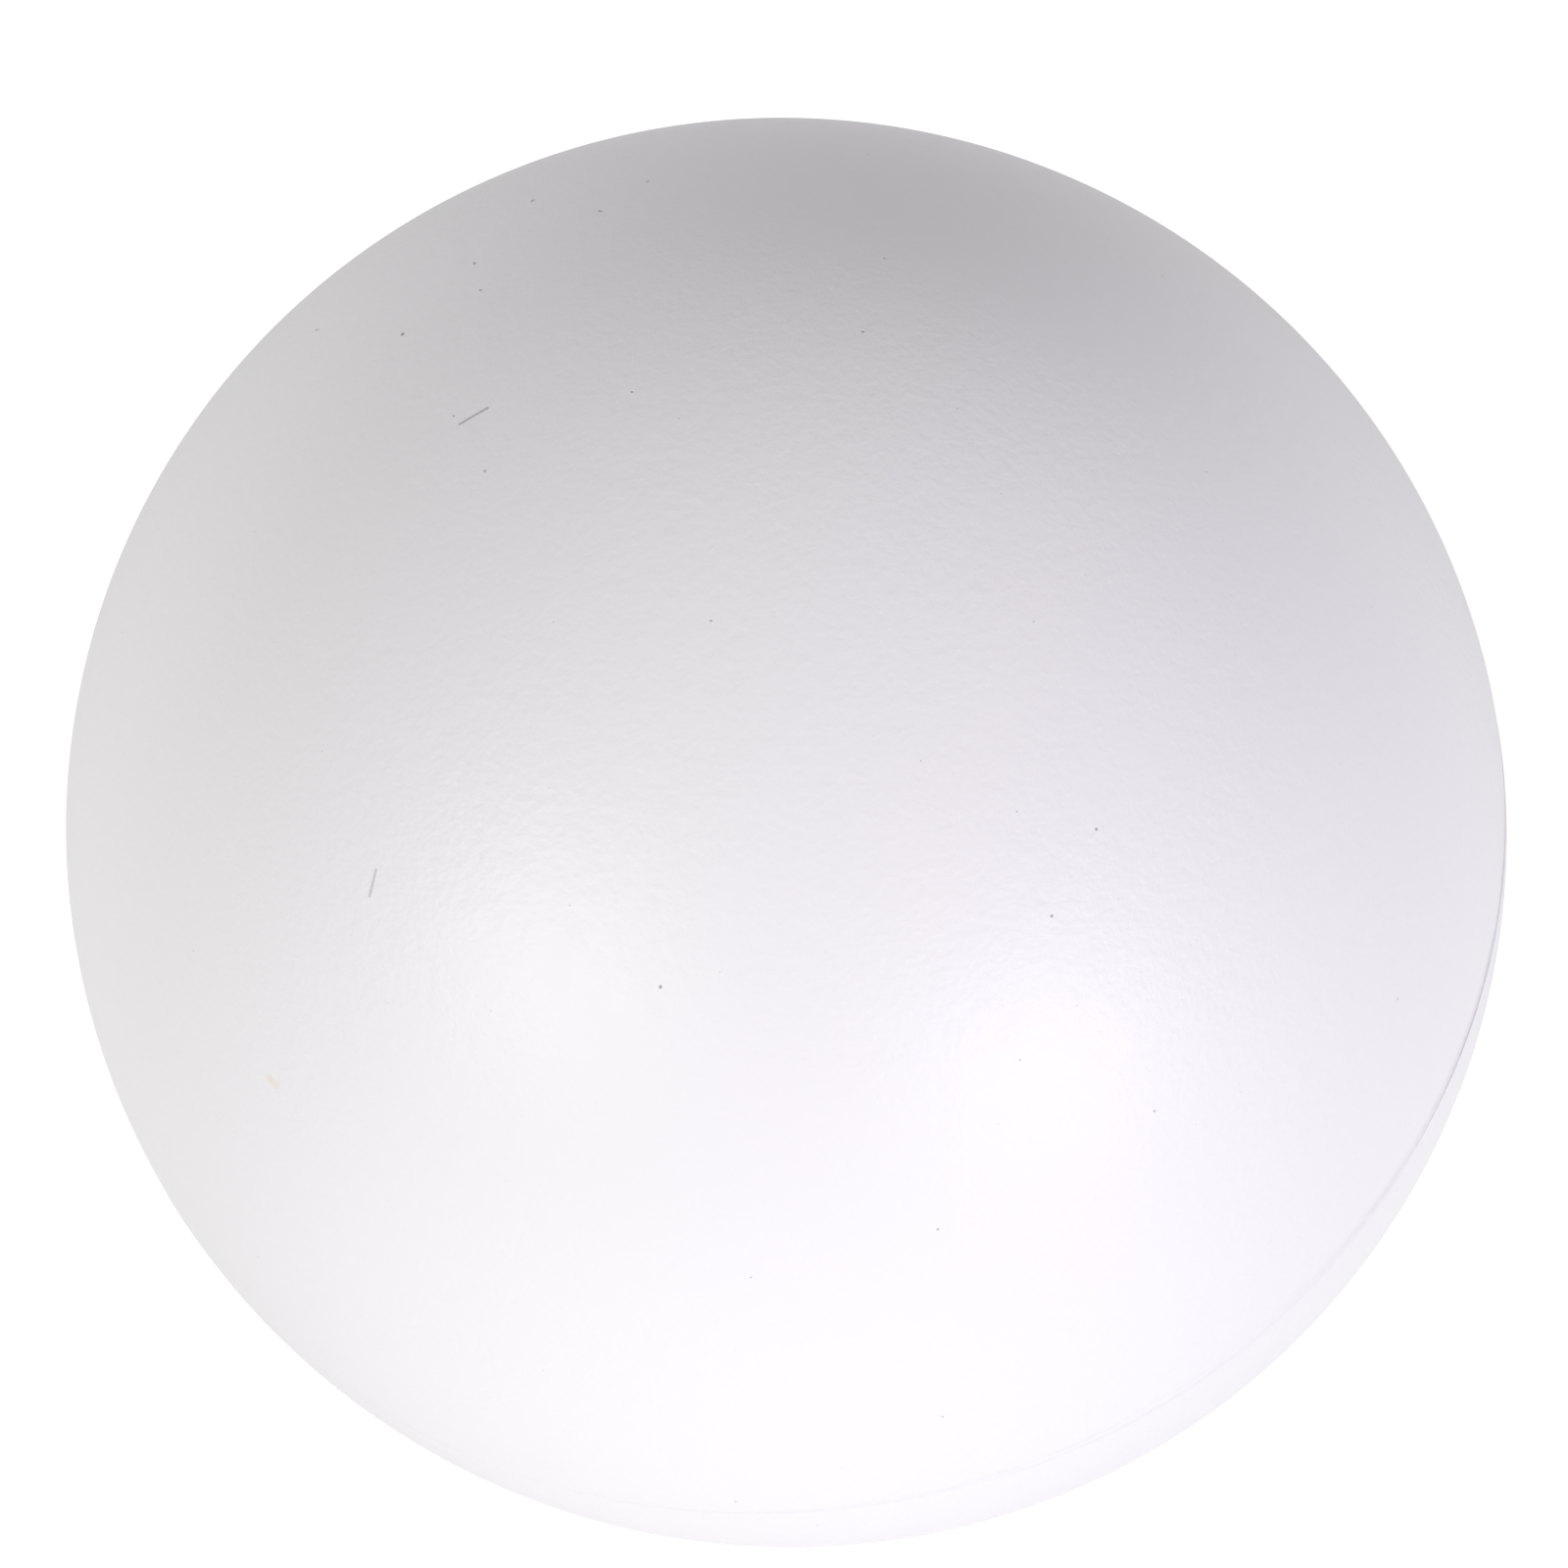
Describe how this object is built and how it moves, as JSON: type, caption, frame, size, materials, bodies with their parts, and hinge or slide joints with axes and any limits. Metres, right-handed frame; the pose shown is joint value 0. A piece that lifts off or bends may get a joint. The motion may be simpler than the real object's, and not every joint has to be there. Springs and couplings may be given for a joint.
{
  "type": "cue ball",
  "caption": "Plain white cue ball moulded in soft foam, with a satin pebbled skin in two domes and a trimmed parting ridge on its equator.",
  "frame": {"origin": "the centre of the ball", "axes": "+Z along the common axis of the two skin domes, from the lower to the upper; the parting plane is z = 0; X and Y are free, because the ball is round about Z"},
  "size_m": [0.0574, 0.0574, 0.0572],
  "materials": {
    "skin": "satin, finely pebbled, plain white",
    "flash": "satin, trimmed edge, plain white",
    "foam": "open-celled, dull cream"
  },
  "bodies": {
    "root": {"foam_core": "foam", "upper_skin": "skin", "lower_skin": "skin", "parting_flash": "flash"}
  },
  "joints": []
}
